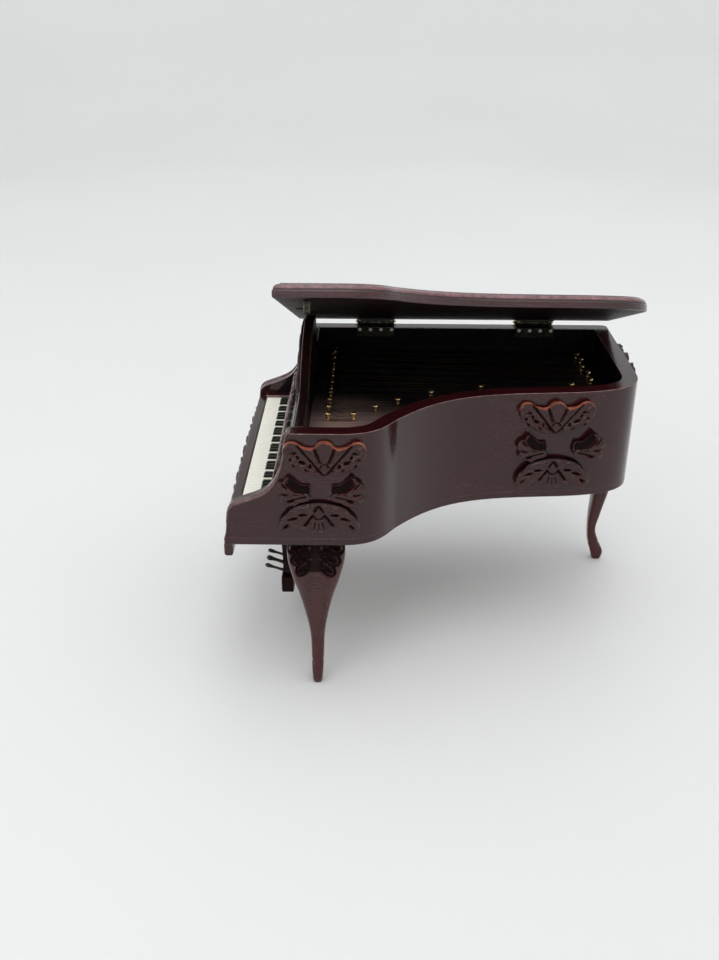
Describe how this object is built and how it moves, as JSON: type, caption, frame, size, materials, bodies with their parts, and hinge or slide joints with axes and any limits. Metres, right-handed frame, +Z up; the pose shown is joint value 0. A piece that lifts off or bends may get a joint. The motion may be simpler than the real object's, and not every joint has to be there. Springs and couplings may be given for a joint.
{
  "type": "miniature grand piano",
  "caption": "Dolls house grand piano with a raised hinged lid, carved cabriole legs, pedal lyre, music desk, strung soundboard and applied leaf carvings.",
  "frame": {"origin": "on the floor, under the middle of the piano's bounding box with the lid at rest", "axes": "+Y to the tail, -Y to the player; +X to the curved treble side, -X to the straight bass side; +Z up"},
  "size_m": [0.0992, 0.1278, 0.1241],
  "materials": {
    "mahogany": "glossy dark red-brown lacquer",
    "dark_wood": "dark stained wood, satin",
    "ivory": "cream gloss paint",
    "black": "black gloss paint",
    "bronze": "dull aged bronze",
    "brass": "bright brass"
  },
  "bodies": {
    "case": {"bass_front_fan_bottom": "mahogany", "bass_front_fan_top": "mahogany", "bass_front_leaf_left": "mahogany", "bass_front_leaf_right": "mahogany", "bass_rear_fan_bottom": "mahogany", "bass_rear_fan_top": "mahogany", "bass_rear_leaf_left": "mahogany", "bass_rear_leaf_right": "mahogany", "black_keys": "black", "bottom_board": "mahogany", "fall_carving": "mahogany", "fall_panel": "mahogany", "front_hinge_case_leaf": "bronze", "front_hinge_pin": "brass", "front_rail": "mahogany", "key_bed": "dark_wood", "key_block_bass": "mahogany", "key_block_treble": "mahogany", "keyslip": "mahogany", "keyslip_carving": "mahogany", "leg_bass": "mahogany", "leg_tail": "mahogany", "leg_treble": "mahogany", "lyre_base": "mahogany", "lyre_board": "mahogany", "music_desk": "mahogany", "pedal_left": "bronze", "pedal_middle": "bronze", "pedal_right": "bronze", "rear_hinge_case_leaf": "bronze", "rear_hinge_pin": "brass", "rim_case": "mahogany", "soundboard": "dark_wood", "strings_and_nails": "brass", "tail_fan_bottom": "mahogany", "tail_fan_top": "mahogany", "tail_leaf_left": "mahogany", "tail_leaf_right": "mahogany", "treble_front_fan_bottom": "mahogany", "treble_front_fan_top": "mahogany", "treble_front_leaf_left": "mahogany", "treble_front_leaf_right": "mahogany", "treble_rear_fan_bottom": "mahogany", "treble_rear_fan_top": "mahogany", "treble_rear_leaf_left": "mahogany", "treble_rear_leaf_right": "mahogany", "white_keys": "ivory"},
    "lid": {"lid": "mahogany", "lid_catch": "bronze", "front_hinge_lid_leaf": "bronze", "rear_hinge_lid_leaf": "bronze"}
  },
  "joints": [
    {"name": "lid_hinge", "type": "hinge", "parent": "case", "child": "lid", "pos_m": [-0.0485, 0, 0.08555], "axis": [0, -1, 0], "range_deg": [0, 70]}
  ]
}
